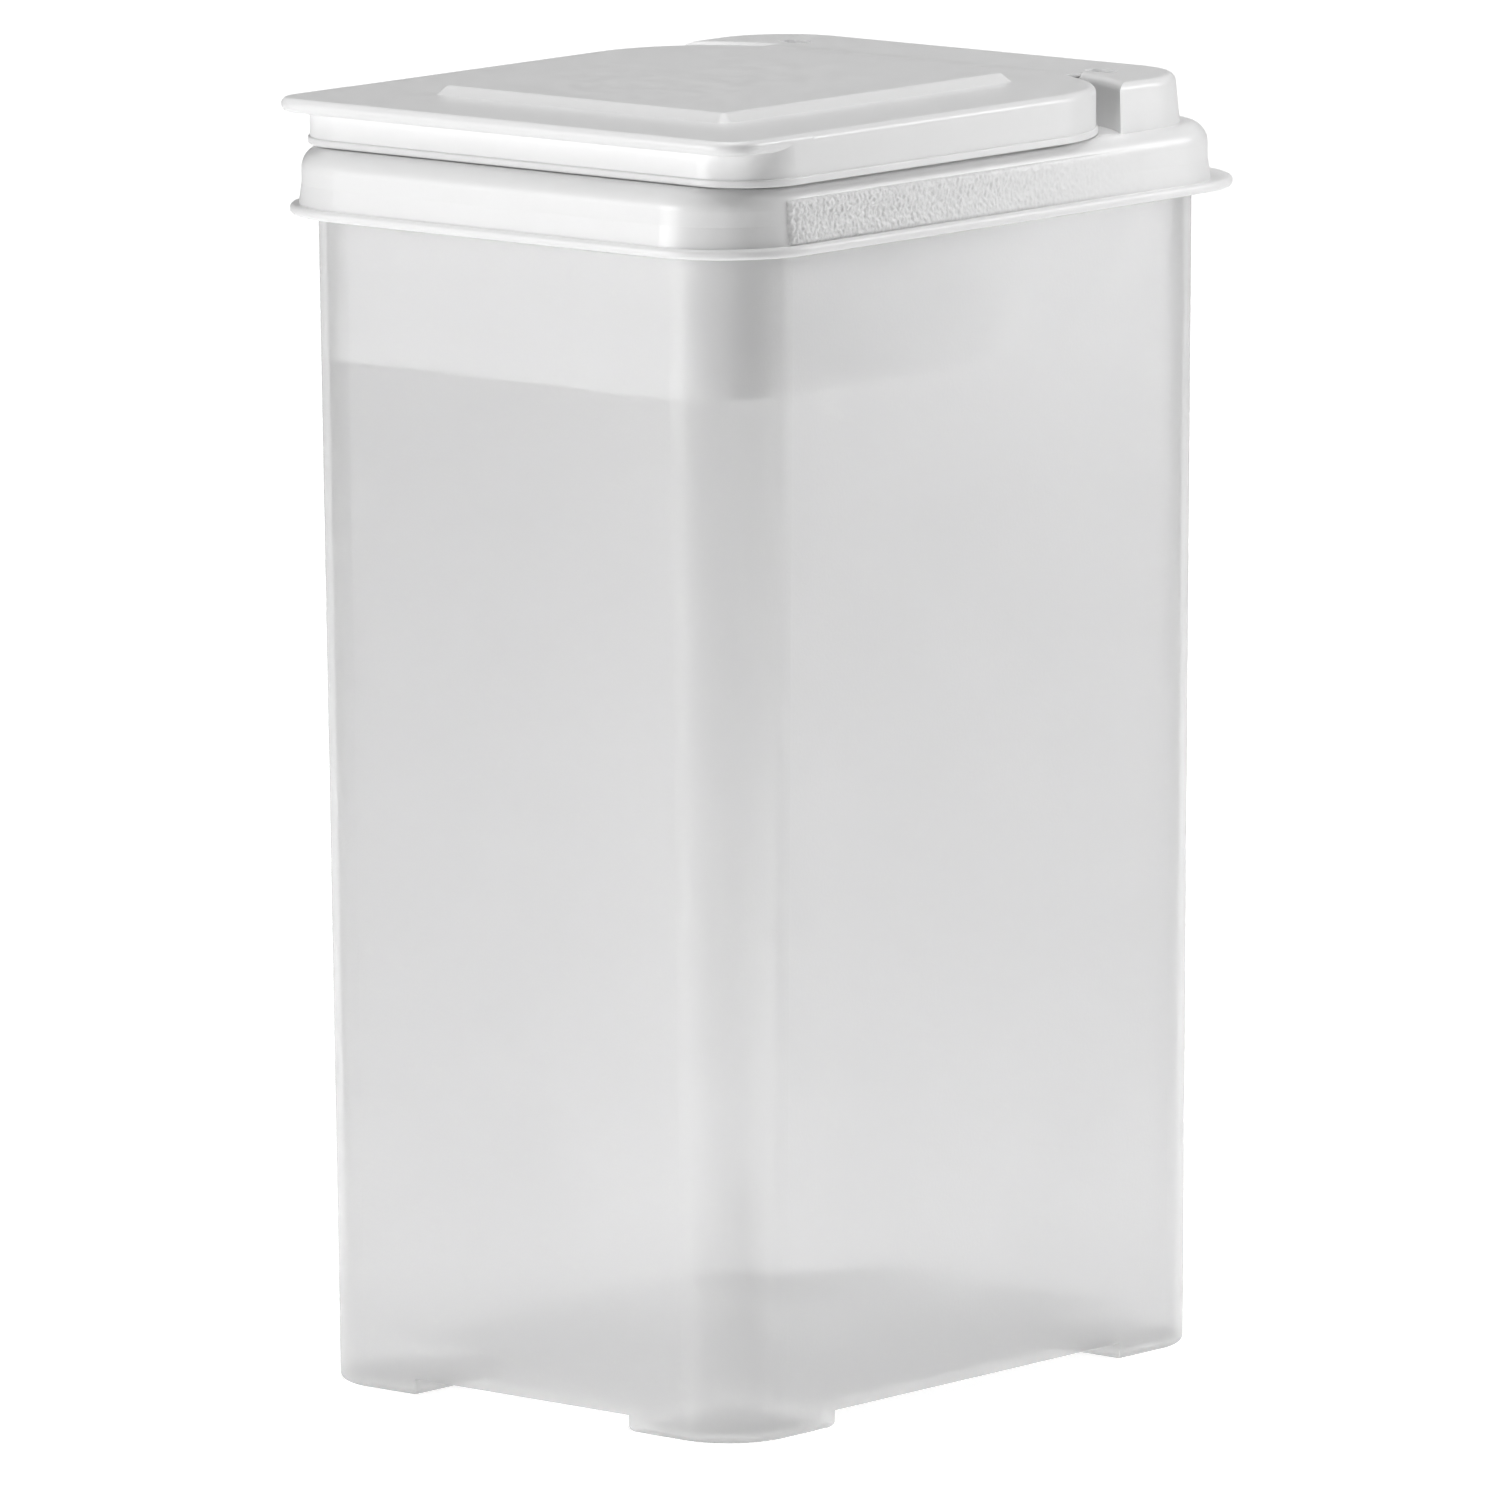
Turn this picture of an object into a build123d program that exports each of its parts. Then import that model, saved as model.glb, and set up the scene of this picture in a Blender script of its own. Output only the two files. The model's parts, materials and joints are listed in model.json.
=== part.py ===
from build123d import *
import os
from math import sqrt

# Countertop cereal dispenser, millimetres, +Z up, front towards -Y.
# A frosted tub stands on four moulded corner feet. A pour insert hangs in its mouth, a white lid
# collar grips its rim, and a flip cap folds on a living hinge at the back of the collar.
# Plan sizes below are taken from the tub's own centre line; the whole model is then moved by
# Y_SHIFT, so that the origin is under the middle of the overall box, on the resting plane.

Y_SHIFT = -2.1
CLEAR = 1.0                         # how far a cutting shape passes the face that it opens
FAR = 200.0                         # wider than anything in plan

# ---- tub -----------------------------------------------------------------------------------
TUB_TOP = 250.0
TUB_BASE = (116.2, 150.1, 15.0)     # width, depth, corner radius at the resting plane
TUB_RIM = (122.0, 154.0, 17.8)      # the same at the rim
TUB_WALL = 1.6
FOOT_X, FOOT_Y, FOOT_H = 29.0, 30.0, 3.6
FOOT_INNER_R = 5.0
FOOT_REACH = 8.0                    # how far a pad runs past the corner that trims it
FOOT_EDGE_R = 1.5
FLOOR_T = 1.8
BEAD_W, BEAD_D, BEAD_R = 124.2, 156.2, 18.9
BEAD_H = 4.0
BEAD_EDGE_R = 0.9

# ---- pour insert ---------------------------------------------------------------------------
SEAT_GAP = 0.05                     # between parts that rest on each other
PLATE_T = 1.4
PLATE_W, PLATE_D, PLATE_R = 123.6, 155.6, 18.6
PLATE_EDGE_R = 0.6
THROAT_HALF_W = 57.2
THROAT_FRONT = -73.4
THROAT_R = 14.0
THROAT_WALL = 1.4
THROAT_BOTTOM = 211.8
CHUTE_BOTTOM_Y, CHUTE_TOP_Y = 8.1, 27.0
CHUTE_BEND_R = 12.0
CHUTE_LIP = 2.5

# ---- lid collar ----------------------------------------------------------------------------
LIP_BOTTOM, LIP_TOP = 241.1, 243.2
LIP_HALF_W, LIP_FRONT, LIP_REAR, LIP_R = 66.2, -82.3, 86.5, 22.0
LIP_EDGE_R = 0.9
SKIRT_W, SKIRT_D, SKIRT_R = 127.8, 160.0, 20.0
SKIRT_T = 1.5
FLARE, FLARE_TOP = 0.7, 247.4
SHOULDER_TOP, SHOULDER_T, SHOULDER_EDGE_R = 254.9, 2.0, 4.4
LEDGE_Z, LEDGE_W = 251.5, 3.5         # the ledge that presses the pour insert on the rim
NECK_TOP, NECK_HALF_W, NECK_FRONT, NECK_REAR = 262.0, 60.8, -72.4, 38.0
NECK_FRONT_R, NECK_REAR_R, NECK_WALL = 12.6, 30.0, 1.5
NECK_EDGE_R = 0.5

# ---- hinge block at the rear of the collar -------------------------------------------------
DECK_TOP = 265.0
BLOCK_HALF_W, BLOCK_REAR, BLOCK_REAR_R = 59.3, 73.8, 18.0
BLOCK_START = 30.0                  # where the block begins before its front is hollowed
BLOCK_DRAFT = 1.6                   # how much further out the block's foot stands
BLOCK_FRONT_MID, BLOCK_FRONT_END = 54.0, 44.6
BLOCK_MID_HALF = 34.0               # half of the straight middle of the block's front
BLOCK_WALL, BLOCK_EDGE_R = 1.8, 1.8
POCKET_X, POCKET_Y, POCKET_W, POCKET_D, POCKET_H = 41.5, 60.0, 7.0, 4.6, 2.2
POCKET_R, POCKET_WALL = 1.8, 1.5

# ---- flip cap and its hinge ----------------------------------------------------------------
HINGE_Y = 51.9                      # the fold line lies in the plane of the deck's top
HINGE_HALF = 41.0
WEB_T, WEB_D = 0.6, 6.0             # the thin strip on the collar's side of the fold
TONGUE_T, TONGUE_D = 1.2, 12.0      # the thicker strip on the cap's side
FOLD_GAP = 0.02
CAP_HALF_W, CAP_FRONT, CAP_REAR = 63.0, -74.7, 51.7
CAP_FRONT_R, CAP_REAR_R = 14.0, 30.0
CAP_WALL, DECK_T, CAP_BOTTOM = 1.5, 1.8, 255.05
CAP_EDGE_R = 1.7
CAP_BEAD, CAP_BEAD_H, CAP_BEAD_EDGE_R = 0.45, 1.6, 0.42
THUMB_FRONT, THUMB_R, THUMB_T = -78.9, 7.0, 3.0
THUMB_EDGE_R, THUMB_OVERLAP = 1.4, 20.0
RIB_GAP, RIB_WALL, RIB_DEPTH = 0.6, 1.2, 2.4
PANEL_HALF_W, PANEL_FRONT, PANEL_REAR = 39.5, -55.0, 35.3
PANEL_H, PANEL_INSET, PANEL_R, PANEL_TOP_R = 1.8, 2.0, 2.5, 0.8
PANEL_EDGE_R = 1.6


def slab(outline, bottom, top):
    """A straight solid from a flat outline, between two heights."""
    return extrude(Plane.XY.offset(bottom) * outline, top - bottom)


def loft_between(low, low_z, high, high_z):
    """A drafted solid between two outlines of the same kind."""
    return loft([Plane.XY.offset(low_z) * low, Plane.XY.offset(high_z) * high])


def rounded(width, depth, radius):
    """A rounded rectangle about the tub's centre line."""
    return RectangleRounded(width, depth, radius)


def outline(half_w, front, rear, front_r, rear_r):
    """A plan outline with its own corner radius at the front and at the rear."""
    depth = rear - front
    shape = Pos(0, (front + rear) / 2) * Rectangle(2 * half_w, depth)
    front_corners = shape.vertices().sort_by(Axis.Y)[:2]
    shape = fillet(front_corners, front_r)
    if rear_r:
        rear_corners = shape.vertices().sort_by(Axis.Y)[-2:]
        shape = fillet(rear_corners, rear_r)
    return shape


def tub_size(z, inset=0.0):
    """Width, depth and corner radius of the tub's drafted wall at height z."""
    t = z / TUB_TOP
    w, d, r = (a + (b - a) * t for a, b in zip(TUB_BASE, TUB_RIM))
    return w - 2 * inset, d - 2 * inset, r - inset


def edges_at(part, z, tolerance=0.01):
    """The edges that lie wholly in the plane at height z."""
    return part.edges().filter_by_position(Axis.Z, z - tolerance, z + tolerance)


def corner_pads(inset, bottom, top):
    """The four foot pads, or with an inset the pockets inside them."""
    width, depth, _ = tub_size(0)
    size_x, size_y = FOOT_X - inset, FOOT_Y - inset
    pads = []
    for sx in (-1, 1):
        for sy in (-1, 1):
            cx = sx * (width - size_x + FOOT_REACH) / 2
            cy = sy * (depth - size_y + FOOT_REACH) / 2
            plan = RectangleRounded(size_x + FOOT_REACH, size_y + FOOT_REACH, FOOT_INNER_R - inset / 2)
            pads.append(slab(Pos(cx, cy) * plan, bottom, top))
    return pads


def make_container():
    body = loft_between(rounded(*tub_size(0)), 0, rounded(*tub_size(TUB_TOP)), TUB_TOP)
    recess = slab(Rectangle(FAR, FAR), -CLEAR, FOOT_H)
    for pad in corner_pads(0.0, -2 * CLEAR, FOOT_H + CLEAR):
        recess -= pad
    body -= recess
    body = fillet(edges_at(body, 0), FOOT_EDGE_R)

    bead = slab(rounded(BEAD_W, BEAD_D, BEAD_R), TUB_TOP - BEAD_H, TUB_TOP)
    bead = fillet(edges_at(bead, TUB_TOP) + edges_at(bead, TUB_TOP - BEAD_H), BEAD_EDGE_R)
    body += bead

    over = TUB_TOP + CLEAR
    cavity = loft_between(rounded(*tub_size(FLOOR_T, TUB_WALL)), FLOOR_T,
                          rounded(*tub_size(over, TUB_WALL)), over)
    floor_top = FOOT_H + FLOOR_T
    floor = slab(Rectangle(FAR, FAR), 0, floor_top)
    for pocket in corner_pads(FLOOR_T, -CLEAR, floor_top + CLEAR):
        floor -= pocket
    return body - (cavity - floor)


def chute_profile(front, bend_r, side_shift, low_z, high_z, lip_z):
    """The throat's side view: a straight front, a flat lip and a sloping rear wall."""
    slope = (CHUTE_TOP_Y - CHUTE_BOTTOM_Y) / (TUB_TOP + SEAT_GAP + PLATE_T - THROAT_BOTTOM)
    length = sqrt(1 + slope ** 2)

    def rear_y(z):
        return CHUTE_BOTTOM_Y + slope * (z - THROAT_BOTTOM) - side_shift * length

    start = CHUTE_BOTTOM_Y - CHUTE_BEND_R * (length - slope) - CHUTE_LIP
    corners = [(front, high_z), (front, low_z)]
    if low_z < lip_z:
        corners += [(start, low_z), (start, lip_z)]
    corners += [(rear_y(lip_z), lip_z), (rear_y(high_z), high_z)]
    face = make_face(Polyline(*corners, close=True))
    bend = face.vertices().sort_by_distance(Vector(rear_y(lip_z), lip_z, 0))[0]
    return fillet(bend, bend_r)


def throat(inset, low_z, high_z):
    """The throat's outer form, or with an inset the space inside it."""
    plan = outline(THROAT_HALF_W - inset, THROAT_FRONT + inset, CHUTE_TOP_Y + CLEAR - inset,
                   THROAT_R - inset, THROAT_R - inset)
    profile = chute_profile(THROAT_FRONT + inset, CHUTE_BEND_R - inset, inset, low_z, high_z,
                            THROAT_BOTTOM + inset)
    across = extrude(Plane.YZ * profile, FAR / 2, both=True)
    return slab(plan, low_z, high_z) & across


def make_insert():
    plate_bottom = TUB_TOP + SEAT_GAP
    plate_top = plate_bottom + PLATE_T
    plate = slab(rounded(PLATE_W, PLATE_D, PLATE_R), plate_bottom, plate_top)
    plate = fillet(edges_at(plate, plate_top), PLATE_EDGE_R)
    body = plate + throat(0.0, THROAT_BOTTOM, plate_top)
    return body - throat(THROAT_WALL, THROAT_BOTTOM - CLEAR, plate_top + CLEAR)


def block_front(shift, z_low, z_high):
    """Everything in front of the block's hollowed front, moved back by shift."""
    rise = BLOCK_FRONT_MID - BLOCK_FRONT_END
    run = BLOCK_HALF_W - BLOCK_MID_HALF
    radius = (run ** 2 + rise ** 2) / (2 * rise)
    mid_y = BLOCK_FRONT_MID + shift

    def arc_y(x):
        return mid_y - radius + sqrt(radius ** 2 - (x - BLOCK_MID_HALF) ** 2)

    far = BLOCK_HALF_W + 6 * CLEAR
    half = (far + BLOCK_MID_HALF) / 2
    right = ThreePointArc((BLOCK_MID_HALF, mid_y), (half, arc_y(half)), (far, arc_y(far)))
    left = ThreePointArc((-far, arc_y(far)), (-half, arc_y(half)), (-BLOCK_MID_HALF, mid_y))
    back = Line((-BLOCK_MID_HALF, mid_y), (BLOCK_MID_HALF, mid_y))
    sides = Polyline((far, arc_y(far)), (far, 0), (-far, 0), (-far, arc_y(far)))
    return slab(make_face([right, left, back, sides]), z_low, z_high)


def block_shape(inset, bottom, top):
    """The drafted block, or with an inset its hollow."""
    def plan(grow):
        side = BLOCK_HALF_W + grow / 2 - inset
        return outline(side, BLOCK_START, BLOCK_REAR + grow - inset, 0.5, BLOCK_REAR_R + grow - inset)
    height = DECK_TOP - SHOULDER_TOP
    low = plan(BLOCK_DRAFT * (DECK_TOP - bottom) / height)
    high = plan(BLOCK_DRAFT * (DECK_TOP - top) / height)
    solid = loft_between(low, bottom, high, top)
    return solid - block_front(inset, bottom - CLEAR, top + CLEAR)


def deck_pocket(side, grow, bottom, top):
    """One of the two small pockets in the block's top, or grown, the wall round it."""
    plan = RectangleRounded(POCKET_W + 2 * grow, POCKET_D + 2 * grow, POCKET_R + grow / 2)
    return slab(Pos(side * POCKET_X, POCKET_Y) * plan, bottom, top)


def make_collar():
    # skirt, flare and lifting lip
    body = slab(rounded(SKIRT_W, SKIRT_D, SKIRT_R), LIP_BOTTOM, SHOULDER_TOP)
    body = fillet(edges_at(body, SHOULDER_TOP), SHOULDER_EDGE_R)
    body += loft_between(rounded(SKIRT_W + 2 * FLARE, SKIRT_D + 2 * FLARE, SKIRT_R + FLARE), LIP_TOP - 0.5,
                         rounded(SKIRT_W, SKIRT_D, SKIRT_R), FLARE_TOP)
    lip = slab(outline(LIP_HALF_W, LIP_FRONT, LIP_REAR, LIP_R, LIP_R), LIP_BOTTOM, LIP_TOP)
    body += fillet(edges_at(lip, LIP_BOTTOM) + edges_at(lip, LIP_TOP), LIP_EDGE_R)

    # neck under the cap, and the hinge block
    neck = slab(outline(NECK_HALF_W, NECK_FRONT, NECK_REAR, NECK_FRONT_R, NECK_REAR_R),
                SHOULDER_TOP - CLEAR, NECK_TOP)
    body += fillet(edges_at(neck, NECK_TOP), NECK_EDGE_R)
    block = block_shape(0.0, SHOULDER_TOP - CLEAR, DECK_TOP)
    body += fillet(edges_at(block, DECK_TOP), BLOCK_EDGE_R)
    web = Box(2 * HINGE_HALF, WEB_D, WEB_T, align=(Align.CENTER, Align.MIN, Align.MAX))
    body += Pos(0, HINGE_Y + FOLD_GAP, DECK_TOP) * web

    # hollows: round the rim, the pour opening and the inside of the block
    for inset, top in ((SKIRT_T, LEDGE_Z), (SKIRT_T + LEDGE_W, SHOULDER_TOP - SHOULDER_T)):
        body -= slab(rounded(SKIRT_W - 2 * inset, SKIRT_D - 2 * inset, SKIRT_R - inset),
                     LIP_BOTTOM - CLEAR, top)
    mouth = outline(NECK_HALF_W - NECK_WALL, NECK_FRONT + NECK_WALL, NECK_REAR - NECK_WALL,
                    NECK_FRONT_R - NECK_WALL, NECK_REAR_R - NECK_WALL)
    body -= slab(mouth, LEDGE_Z, NECK_TOP + CLEAR)
    hollow = block_shape(BLOCK_WALL, LEDGE_Z, DECK_TOP - BLOCK_WALL)
    for side in (-1, 1):
        hollow -= deck_pocket(side, POCKET_WALL, DECK_TOP - POCKET_H - POCKET_WALL, DECK_TOP)
    body -= hollow
    for side in (-1, 1):
        body -= deck_pocket(side, 0.0, DECK_TOP - POCKET_H, DECK_TOP + CLEAR)
    return body


def raised_panel(inset, bottom, top):
    """The panel that stands proud of the cap's deck, or with an inset the hollow under it."""
    base = outline(PANEL_HALF_W - inset, PANEL_FRONT + inset, PANEL_REAR - inset, PANEL_R, PANEL_R)
    edge = inset + PANEL_INSET
    crown = outline(PANEL_HALF_W - edge, PANEL_FRONT + edge, PANEL_REAR - edge, PANEL_TOP_R, PANEL_TOP_R)
    return loft_between(base, bottom, crown, top)


def make_cap():
    plan = outline(CAP_HALF_W, CAP_FRONT, CAP_REAR, CAP_FRONT_R, CAP_REAR_R)
    skirt = slab(plan, CAP_BOTTOM, DECK_TOP)
    skirt = fillet(edges_at(skirt, DECK_TOP), CAP_EDGE_R)
    bead_plan = outline(CAP_HALF_W + CAP_BEAD, CAP_FRONT - CAP_BEAD, CAP_REAR + CAP_BEAD,
                        CAP_FRONT_R + CAP_BEAD, CAP_REAR_R + CAP_BEAD)
    bead = slab(bead_plan, CAP_BOTTOM, CAP_BOTTOM + CAP_BEAD_H)
    bead = fillet(edges_at(bead, CAP_BOTTOM) + edges_at(bead, CAP_BOTTOM + CAP_BEAD_H), CAP_BEAD_EDGE_R)

    thumb_rear = CAP_FRONT + THUMB_OVERLAP
    thumb = slab(outline(CAP_HALF_W, THUMB_FRONT, thumb_rear, THUMB_R, 0.5), DECK_TOP - THUMB_T, DECK_TOP)
    nose_edges = edges_at(thumb, DECK_TOP) + edges_at(thumb, DECK_TOP - THUMB_T)
    thumb = fillet(nose_edges.filter_by(lambda e: e.center().Y < thumb_rear - CLEAR), THUMB_EDGE_R)

    tongue = Box(2 * HINGE_HALF, TONGUE_D, TONGUE_T, align=(Align.CENTER, Align.MAX, Align.MAX))
    body = skirt + bead + thumb + Pos(0, HINGE_Y - FOLD_GAP, DECK_TOP) * tongue

    inside = outline(CAP_HALF_W - CAP_WALL, CAP_FRONT + CAP_WALL, CAP_REAR - CAP_WALL,
                     CAP_FRONT_R - CAP_WALL, CAP_REAR_R - CAP_WALL)
    under = DECK_TOP - DECK_T
    body -= slab(inside, CAP_BOTTOM - CLEAR, under)

    # shallow rib that drops inside the neck and keeps the cereal fresh
    gap = NECK_WALL + RIB_GAP
    rib = [outline(NECK_HALF_W - cut, NECK_FRONT + cut, NECK_REAR - cut,
                   NECK_FRONT_R - cut, NECK_REAR_R - cut)
           for cut in (gap, gap + RIB_WALL)]
    body += slab(rib[0] - rib[1], under - RIB_DEPTH, under + DECK_T / 2)

    panel = raised_panel(0.0, DECK_TOP, DECK_TOP + PANEL_H)
    body += fillet(edges_at(panel, DECK_TOP + PANEL_H), PANEL_EDGE_R)
    return body - raised_panel(DECK_T, under, under + PANEL_H)


def main():
    os.makedirs("parts", exist_ok=True)
    nodes = {
        "container": make_container(),
        "pour_insert": make_insert(),
        "lid_collar": make_collar(),
        "flip_cap": make_cap(),
    }
    for name, solid in nodes.items():
        export_step(Pos(0, Y_SHIFT, 0) * solid, f"parts/{name}.step")


main()
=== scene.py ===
import json
import math

import bmesh
import bpy
import mathutils.noise
from mathutils import Matrix, Vector


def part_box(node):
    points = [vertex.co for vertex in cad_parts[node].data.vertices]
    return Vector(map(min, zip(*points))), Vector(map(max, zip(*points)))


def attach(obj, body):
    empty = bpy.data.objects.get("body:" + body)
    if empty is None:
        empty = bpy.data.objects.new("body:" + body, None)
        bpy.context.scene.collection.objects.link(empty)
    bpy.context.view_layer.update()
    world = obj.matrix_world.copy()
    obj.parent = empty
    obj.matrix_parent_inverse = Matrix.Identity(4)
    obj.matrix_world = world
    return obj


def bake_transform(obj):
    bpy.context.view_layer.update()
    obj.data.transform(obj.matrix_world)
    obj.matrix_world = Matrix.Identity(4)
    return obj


# A cereal dispenser: frosted tub, white pour insert, white lid collar and flip cap.
# Everything is in metres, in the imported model's frame: +Z up, front towards -Y.

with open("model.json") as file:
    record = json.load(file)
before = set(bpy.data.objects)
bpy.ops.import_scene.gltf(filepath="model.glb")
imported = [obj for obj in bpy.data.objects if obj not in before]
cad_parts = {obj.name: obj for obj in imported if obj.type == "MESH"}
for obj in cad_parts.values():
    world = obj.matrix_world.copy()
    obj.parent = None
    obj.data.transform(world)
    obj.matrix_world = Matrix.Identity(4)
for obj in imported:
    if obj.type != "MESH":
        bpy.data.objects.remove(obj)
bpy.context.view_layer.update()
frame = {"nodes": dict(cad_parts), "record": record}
MM = 0.001

# ---- camera --------------------------------------------------------------------------------
# A long lens from the front right, a little above the lid, at the product shot's angle.
AZIMUTH, ELEVATION, ROLL = map(math.radians, (41.036, 9.188, -0.335))
TARGET = Vector((0.0, -2.1 * MM, 130.0 * MM))
SHIFT_RIGHT, SHIFT_UP, DISTANCE = -2.085 * MM, -2.734 * MM, 3386.96 * MM
LENS, SENSOR, CLIP_END = 396.1, 36.0, 100.0


def make_camera():
    cos_a, sin_a = math.cos(AZIMUTH), math.sin(AZIMUTH)
    back = Vector((sin_a * math.cos(ELEVATION), -cos_a * math.cos(ELEVATION), math.sin(ELEVATION)))
    right = Vector((cos_a, sin_a, 0.0))
    up = back.cross(right)
    tilted_right = right * math.cos(ROLL) + up * math.sin(ROLL)
    tilted_up = up * math.cos(ROLL) - right * math.sin(ROLL)
    place = TARGET + back * DISTANCE + tilted_right * SHIFT_RIGHT + tilted_up * SHIFT_UP
    data = bpy.data.cameras.new("camera")
    data.lens = LENS
    data.sensor_width = SENSOR
    data.clip_end = CLIP_END
    camera = bpy.data.objects.new("camera", data)
    bpy.context.scene.collection.objects.link(camera)
    axes = Matrix((tilted_right, tilted_up, back)).transposed().to_4x4()
    camera.matrix_world = Matrix.Translation(place) @ axes
    bpy.context.scene.camera = camera


make_camera()


# ---- material helpers ----------------------------------------------------------------------
PLASTIC_IOR = 1.49
NOISE_LOW, NOISE_HIGH = 0.3, 0.7     # the span that nearly all of a noise's values lie in


def grey(level):
    return (level, level, level, 1.0)


def new_material(name):
    """A material with a lone Principled shader; returns it, its node tree and the shader."""
    material = bpy.data.materials.new(name)
    material.use_nodes = True
    tree = material.node_tree
    shader = tree.nodes["Principled BSDF"]
    return material, tree, shader


def noise(tree, scale, detail=4.0):
    """Noise over the piece's own coordinates, which are metres in the frame."""
    place = tree.nodes.new("ShaderNodeTexCoord")
    node = tree.nodes.new("ShaderNodeTexNoise")
    node.inputs["Scale"].default_value = scale
    node.inputs["Detail"].default_value = detail
    tree.links.new(place.outputs["Object"], node.inputs["Vector"])
    return node.outputs["Fac"]


def map_range(tree, source, start, end, at_start, at_end):
    """Turns a value's course from start to end into one from at_start to at_end, held past both."""
    node = tree.nodes.new("ShaderNodeMapRange")
    node.inputs["From Min"].default_value = start
    node.inputs["From Max"].default_value = end
    node.inputs["To Min"].default_value = at_start
    node.inputs["To Max"].default_value = at_end
    tree.links.new(source, node.inputs["Value"])
    return node.outputs["Result"]


def spread(tree, source, low, high):
    """Maps a noise on to a low to high range."""
    return map_range(tree, source, NOISE_LOW, NOISE_HIGH, low, high)


def mix_greys(tree, factor, first, second):
    """A node that goes from the first grey to the second as the factor goes from 0 to 1."""
    node = tree.nodes.new("ShaderNodeMix")
    node.data_type = "RGBA"
    node.inputs["A"].default_value = grey(first)
    node.inputs["B"].default_value = grey(second)
    tree.links.new(factor, node.inputs["Factor"])
    return node


def bump(tree, source, height, strength=None):
    """A moulded skin of the given height; strength may be a socket that weakens it by place."""
    node = tree.nodes.new("ShaderNodeBump")
    node.inputs["Distance"].default_value = height
    if strength is not None:
        tree.links.new(strength, node.inputs["Strength"])
    tree.links.new(source, node.inputs["Height"])
    return node.outputs["Normal"]


def set_subsurface(shader, weight, scale):
    shader.inputs["Subsurface Weight"].default_value = weight
    shader.inputs["Subsurface Radius"].default_value = (1.0, 1.0, 1.0)
    shader.inputs["Subsurface Scale"].default_value = scale


def white_plastic(name, tones, roughness, skin_scale, skin_height):
    """Opaque white polypropylene, a little translucent at thin edges, with a fine moulded skin."""
    material, tree, shader = new_material(name)
    dark, light = tones
    colour = mix_greys(tree, noise(tree, scale=18.0, detail=3.0), dark, light)
    skin = noise(tree, skin_scale, detail=2.0)
    tree.links.new(colour.outputs["Result"], shader.inputs["Base Color"])
    tree.links.new(spread(tree, noise(tree, scale=260.0), *roughness), shader.inputs["Roughness"])
    tree.links.new(bump(tree, skin, skin_height), shader.inputs["Normal"])
    shader.inputs["IOR"].default_value = PLASTIC_IOR
    set_subsurface(shader, weight=0.25, scale=1.2 * MM)
    return material


def frosted_plastic(name):
    """Milky translucent polypropylene: what touches the wall shows through, what is far blurs."""
    material, tree, shader = new_material(name)
    colour = mix_greys(tree, noise(tree, scale=9.0, detail=3.0), 0.93, 0.96)
    roughness = spread(tree, noise(tree, scale=90.0), low=0.30, high=0.36)
    skin = noise(tree, scale=1400.0, detail=2.0)
    tree.links.new(colour.outputs["Result"], shader.inputs["Base Color"])
    tree.links.new(roughness, shader.inputs["Roughness"])
    tree.links.new(bump(tree, skin, height=0.03 * MM), shader.inputs["Normal"])
    shader.inputs["IOR"].default_value = PLASTIC_IOR
    shader.inputs["Transmission Weight"].default_value = 0.75
    shader.inputs["Alpha"].default_value = 0.5
    set_subsurface(shader, weight=1.0, scale=3.0 * MM)
    return material


def add_mesh(name, built, material):
    """Turns a finished bmesh into an object in the scene."""
    data = bpy.data.meshes.new(name)
    built.to_mesh(data)
    built.free()
    data.materials.append(material)
    piece = bpy.data.objects.new(name, data)
    bpy.context.scene.collection.objects.link(piece)
    return piece


def paint(node, material):
    """Gives a carried-over CAD node its finished material."""
    mesh = frame["nodes"][node].data
    mesh.materials.clear()
    mesh.materials.append(material)


INSERT_WHITE = white_plastic("insert_white", tones=(0.92, 0.94), roughness=(0.42, 0.5),
                             skin_scale=1800.0, skin_height=0.01 * MM)
LID_WHITE = white_plastic("lid_white", tones=(0.86, 0.89), roughness=(0.28, 0.36),
                          skin_scale=2200.0, skin_height=0.01 * MM)
paint("container", frosted_plastic("frosted_tub"))
paint("pour_insert", INSERT_WHITE)
paint("lid_collar", LID_WHITE)
paint("flip_cap", LID_WHITE)


# ---- stippled grips on the collar's skirt ----------------------------------------------------
collar_low, collar_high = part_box("lid_collar")
SKIRT_HALF, SKIRT_R, SHOULDER_R = 63.9 * MM, 20.0 * MM, 4.4 * MM
SHOULDER_START = collar_low[2] + 9.4 * MM           # where the side begins to round over
SKIRT_FLAT_FRONT = collar_low[1] + 22.3 * MM        # where the flat side starts behind the corner
FLARE, FLARE_HEIGHT = 0.7 * MM, 4.7 * MM
FLARE_FOOT = collar_low[2] + 1.6 * MM
GRIP_FRONT, GRIP_REAR = SKIRT_FLAT_FRONT - 4.0 * MM, collar_high[1] - 38.0 * MM
GRIP_LOW, GRIP_HIGH = collar_low[2] + 2.2 * MM, collar_low[2] + 11.2 * MM
GRIP_STEP = 0.25 * MM                               # spacing of the patch's points
GRIP_SUNK = 0.5 * MM                                # how deep the patch's back lies in the skirt
GRIP_LET_IN = 0.02 * MM                             # how far its ungrained face lies in the skirt
GRIP_EDGE = 2.0 * GRIP_STEP                         # width over which the grain rises from its border
GRAIN, GRAIN_HEIGHT = 0.8 * MM, 1.0 * MM
FINE_GRAIN, FINE_SHARE = 1.9, 0.4                   # how much finer the second grain is, and its share
FADE_POWER = 1.5
SIDE_OFFSET = 3.0                                   # keeps the two sides' grain from being the same
# painted shade and highlight of the grip's grain: dark and light speckle greys, and the plain grey
# where they have faded out
PAINTED_SHADE_DARK, PAINTED_SHADE_LIGHT, PAINTED_SHADE_NONE = 0.76, 0.97, 0.88


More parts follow.
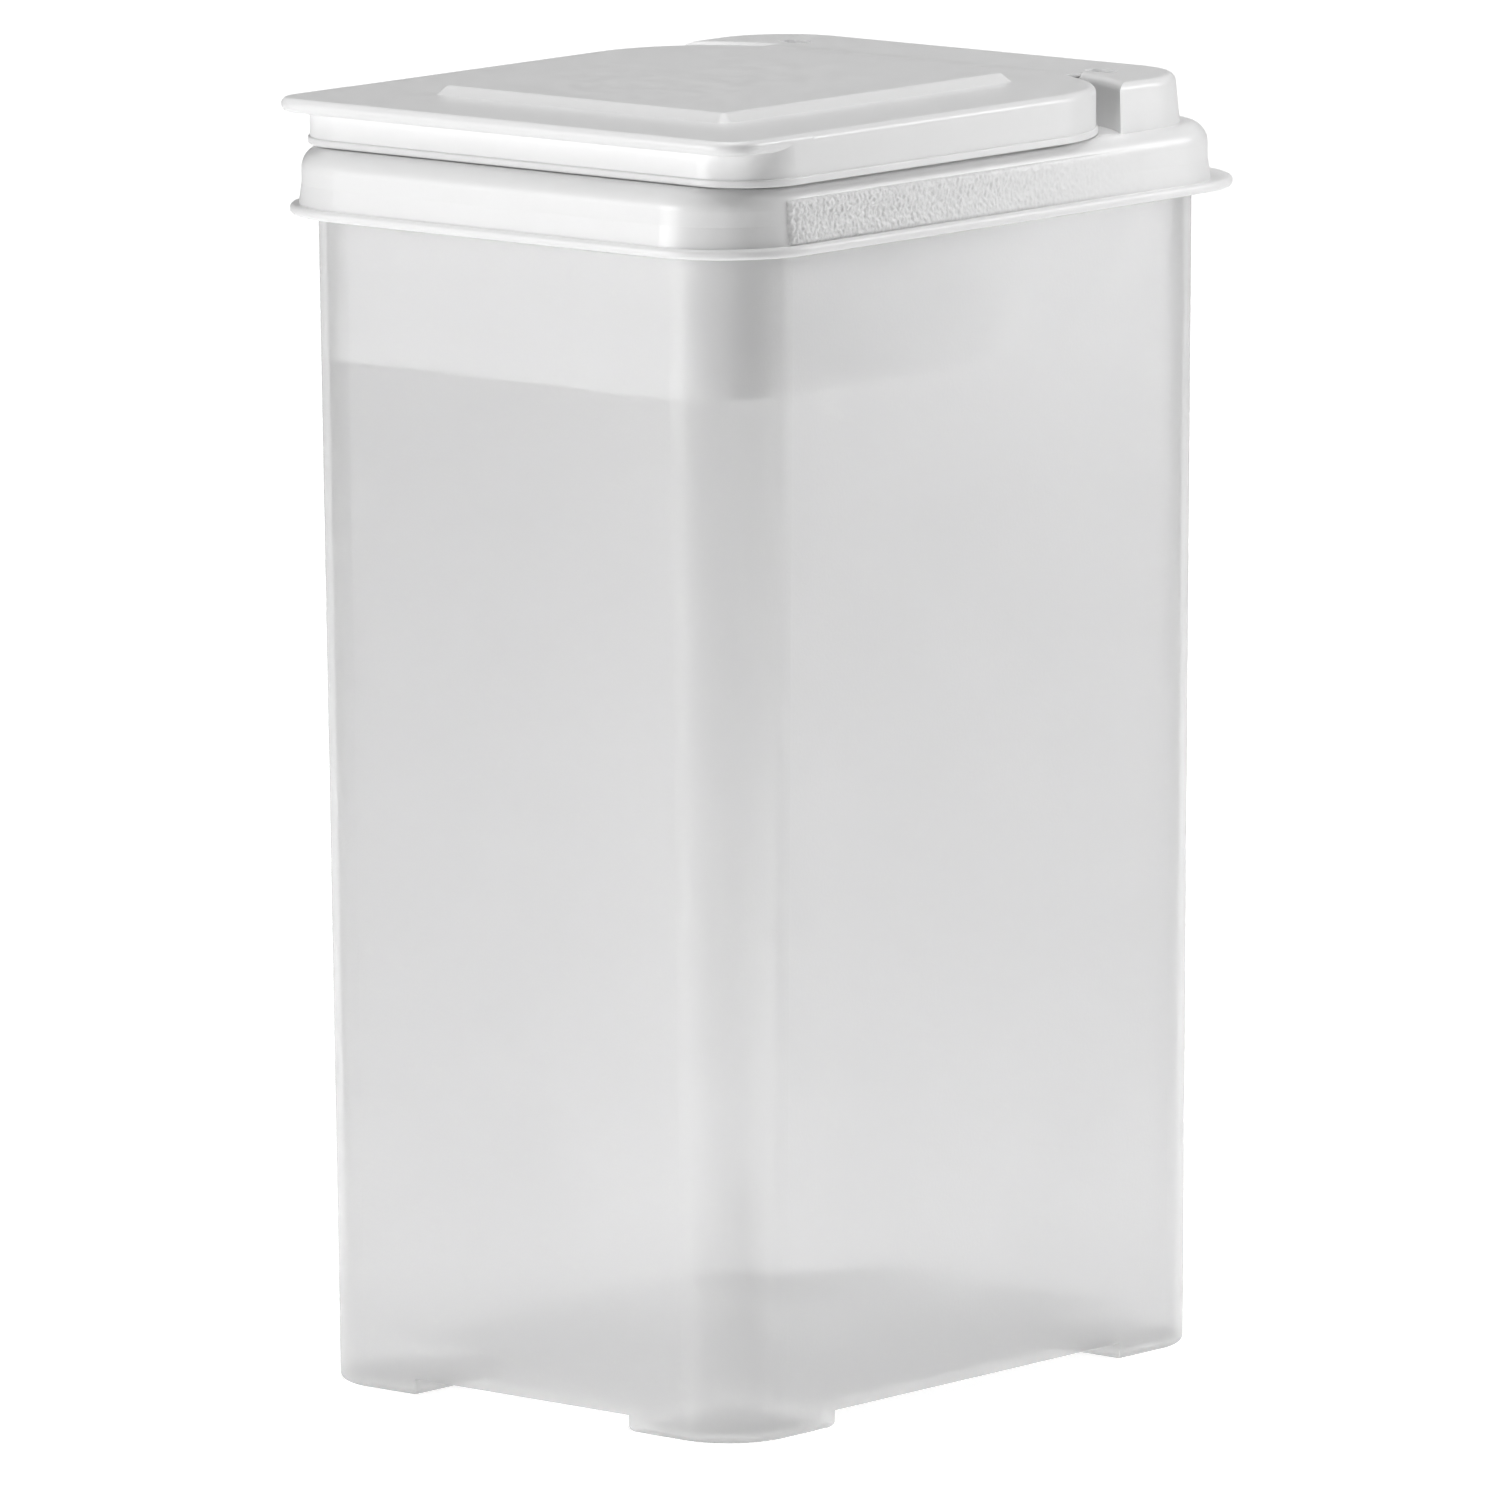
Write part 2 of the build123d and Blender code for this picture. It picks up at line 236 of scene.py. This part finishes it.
def skirt_x(y, z):
    """How far out the skirt's side stands: turned in at corner and shoulder, flared low down."""
    into_corner = max(0.0, SKIRT_FLAT_FRONT - y)
    turn = SKIRT_R - math.sqrt(SKIRT_R ** 2 - into_corner ** 2)
    into_shoulder = max(0.0, z - SHOULDER_START)
    turn += SHOULDER_R - math.sqrt(SHOULDER_R ** 2 - into_shoulder ** 2)
    low = max(0.0, 1.0 - (z - FLARE_FOOT) / FLARE_HEIGHT)
    return SKIRT_HALF - turn + FLARE * low


def grain_height(y, z, side):
    """Rough cast-in grain: a full-height start at the front that fades out towards the rear."""
    place = Vector((side * SIDE_OFFSET, y / GRAIN, z / GRAIN))
    coarse = 0.5 + 0.5 * mathutils.noise.noise(place)
    fine = 0.5 + 0.5 * mathutils.noise.noise(place * FINE_GRAIN)
    grain = (1.0 - FINE_SHARE) * coarse + FINE_SHARE * fine
    fade = 1.0 - max(0.0, (y - GRIP_FRONT) / (GRIP_REAR - GRIP_FRONT)) ** FADE_POWER
    edge = min(y - GRIP_FRONT, z - GRIP_LOW, GRIP_HIGH - z) / GRIP_EDGE
    return GRAIN_HEIGHT * grain * fade * max(0.0, min(1.0, edge))


def rearward_fade(tree):
    """1 at the grip's front, 0 at its rear, as the grain dies away."""
    place = tree.nodes.new("ShaderNodeTexCoord")
    split = tree.nodes.new("ShaderNodeSeparateXYZ")
    tree.links.new(place.outputs["Object"], split.inputs["Vector"])
    return map_range(tree, split.outputs["Y"], GRIP_FRONT, GRIP_REAR, 1.0, 0.0)


def stippled_plastic(name):
    """The lid's white on cast-in grain, with the grain's light and shade painted into the colour as
    dark and light speckles that fade out towards the rear.
    """
    material, tree, shader = new_material(name)
    fade = rearward_fade(tree)
    grain = spread(tree, noise(tree, scale=1100.0, detail=2.0), low=0.0, high=1.0)
    # painted shade: speckles of darker and lighter grey stand for the stipple's own light and shade
    painted_grain_shade = mix_greys(tree, grain, PAINTED_SHADE_DARK, PAINTED_SHADE_LIGHT)
    colour = mix_greys(tree, fade, PAINTED_SHADE_NONE, PAINTED_SHADE_NONE)
    tree.links.new(painted_grain_shade.outputs["Result"], colour.inputs["B"])     # the front end takes the painted grain shade
    roughness = spread(tree, noise(tree, scale=260.0), low=0.3, high=0.4)
    skin = noise(tree, scale=1400.0, detail=2.0)
    tree.links.new(colour.outputs["Result"], shader.inputs["Base Color"])
    tree.links.new(roughness, shader.inputs["Roughness"])
    tree.links.new(bump(tree, skin, height=0.25 * MM, strength=fade), shader.inputs["Normal"])
    shader.inputs["IOR"].default_value = PLASTIC_IOR
    return material


def make_grip(name, side):
    """A closed patch let into the skirt, its outer face raised in grain."""
    columns = round((GRIP_REAR - GRIP_FRONT) / GRIP_STEP)
    rows = round((GRIP_HIGH - GRIP_LOW) / GRIP_STEP)
    mesh = bmesh.new()
    outer, back = [], []
    for grid, grained in ((outer, True), (back, False)):
        for i in range(columns + 1):
            y = GRIP_FRONT + i * GRIP_STEP
            line = []
            for j in range(rows + 1):
                z = GRIP_LOW + j * GRIP_STEP
                rise = grain_height(y, z, side) - GRIP_LET_IN if grained else -GRIP_SUNK
                line.append(mesh.verts.new((side * (skirt_x(y, z) + rise), y, z)))
            grid.append(line)
    for grid in (outer, back):
        for i in range(columns):
            for j in range(rows):
                mesh.faces.new((grid[i][j], grid[i + 1][j], grid[i + 1][j + 1], grid[i][j + 1]))
    for i in range(columns):
        for j in (0, rows):
            mesh.faces.new((outer[i][j], outer[i + 1][j], back[i + 1][j], back[i][j]))
    for j in range(rows):
        for i in (0, columns):
            mesh.faces.new((outer[i][j], outer[i][j + 1], back[i][j + 1], back[i][j]))
    bmesh.ops.recalc_face_normals(mesh, faces=mesh.faces)
    for face in mesh.faces:
        face.smooth = True
    grip = add_mesh(name, mesh, GRIP_WHITE)
    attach(grip, "collar")


GRIP_WHITE = stippled_plastic("grip_white")
make_grip("grip_right", 1)
make_grip("grip_left", -1)


# ---- the living hinge's thin web -------------------------------------------------------------
JOINTS = {joint["name"]: joint for joint in frame["record"]["behaviour"]["joints"]}
HINGE_Y, HINGE_Z = JOINTS["cap_hinge"]["pos_m"][1:]
WEB_HALF_LENGTH, WEB_REACH, WEB_DEPTH = 40.6 * MM, 2.2 * MM, 0.45 * MM
WEB_CROWN, WEB_EDGE = 0.05 * MM, -0.1 * MM          # the web's height above the deck, mid and edge
WEB_SPANS = 24


def make_web():
    """A crowned strip along the fold, thin enough to bend: the skin that joins cap and collar."""
    mesh = bmesh.new()
    rings = []
    for x in (-WEB_HALF_LENGTH, WEB_HALF_LENGTH):
        top, under = [], []
        for i in range(WEB_SPANS + 1):
            t = 2.0 * i / WEB_SPANS - 1.0
            y = HINGE_Y + t * WEB_REACH
            crown = WEB_CROWN + (WEB_EDGE - WEB_CROWN) * t ** 4
            top.append(mesh.verts.new((x, y, HINGE_Z + crown)))
            under.append(mesh.verts.new((x, y, HINGE_Z - WEB_DEPTH)))
        rings.append(top + under[::-1])
    near, far = rings
    count = len(near)
    for i in range(count):
        k = (i + 1) % count
        mesh.faces.new((near[i], near[k], far[k], far[i]))
    for ring in rings:
        mesh.faces.new(ring)
    bmesh.ops.recalc_face_normals(mesh, faces=mesh.faces)
    web = add_mesh("hinge_web", mesh, LID_WHITE)
    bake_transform(web)


make_web()


# ---- floor and light -----------------------------------------------------------------------
FLOOR_SIZE, FLOOR_GREY, FLOOR_ROUGHNESS = 30.0, 0.8, 0.9
BLEACH_START, BLEACH_END = 0.15, 0.7      # distances from the object between which the floor changes
GLOW_NEAR, GLOW_FAR = 0.45, 0.27          # what the floor gives the object
SEEN_NEAR, SEEN_FAR = 0.62, 1.05          # what the camera sees of it
WORLD_STRENGTH = 0.02

# name, place, what it is aimed at, its two sides, watts
SOFTBOXES = (
    ("top", (0.0, 0.0, 1.6), (0, 0, 0.2), (1.2, 1.2), 16.5),
    ("front_left", (-0.8, -1.6, 0.3), (0, 0, 0.15), (0.7, 0.7), 16.6),
    ("corner", (1.0, -1.15, 0.25), (0, 0, 0.12), (0.5, 0.5), 1.0),
    ("rear_right", (0.9, 1.1, 0.85), (0, 0, 0.25), (0.4, 0.4), 4.7),
    ("rim_near", (0.26, 0.26, 0.30), (0.06, 0.06, 0.22), (0.12, 0.3), 0.32),
    ("rim_low", (0.5, 0.5, 0.06), (0, 0, 0.06), (0.3, 0.12), 0.1),
)


def over_distance(tree, near_value, far_value):
    """A value that changes with the distance from the object's foot."""
    place = tree.nodes.new("ShaderNodeTexCoord")
    away = tree.nodes.new("ShaderNodeVectorMath")
    away.operation = "LENGTH"
    tree.links.new(place.outputs["Object"], away.inputs[0])
    return map_range(tree, away.outputs["Value"], BLEACH_START, BLEACH_END, near_value, far_value)


def make_floor():
    """A pale floor that bleaches to white away from the object, as in a product shot."""
    bpy.ops.mesh.primitive_plane_add(size=FLOOR_SIZE, location=(0, 0, 0))
    floor = bpy.context.object
    floor.name = "floor"
    material, tree, shader = new_material("floor_white")
    shader.inputs["Base Color"].default_value = grey(FLOOR_GREY)
    shader.inputs["Roughness"].default_value = FLOOR_ROUGHNESS
    shader.inputs["Emission Color"].default_value = grey(1.0)
    rays = tree.nodes.new("ShaderNodeLightPath")
    glow = tree.nodes.new("ShaderNodeMix")
    tree.links.new(rays.outputs["Is Camera Ray"], glow.inputs["Factor"])
    tree.links.new(over_distance(tree, GLOW_NEAR, GLOW_FAR), glow.inputs["A"])
    tree.links.new(over_distance(tree, SEEN_NEAR, SEEN_FAR), glow.inputs["B"])
    tree.links.new(glow.outputs["Result"], shader.inputs["Emission Strength"])
    floor.data.materials.append(material)


def make_softbox(name, place, target, size, power):
    data = bpy.data.lights.new(name, "AREA")
    data.shape = "RECTANGLE"
    data.size, data.size_y = size
    data.energy = power
    light = bpy.data.objects.new(name, data)
    bpy.context.scene.collection.objects.link(light)
    light.location = place
    aim = Vector(target) - Vector(place)
    light.rotation_mode = "QUATERNION"
    light.rotation_quaternion = aim.to_track_quat("-Z", "Y")


def make_world():
    world = bpy.data.worlds.new("studio")
    world.use_nodes = True
    ground = world.node_tree.nodes["Background"]
    ground.inputs["Color"].default_value = grey(1.0)
    ground.inputs["Strength"].default_value = WORLD_STRENGTH
    bpy.context.scene.world = world
    bpy.context.scene.view_settings.view_transform = "Standard"


make_floor()
make_world()
for softbox in SOFTBOXES:
    make_softbox(*softbox)
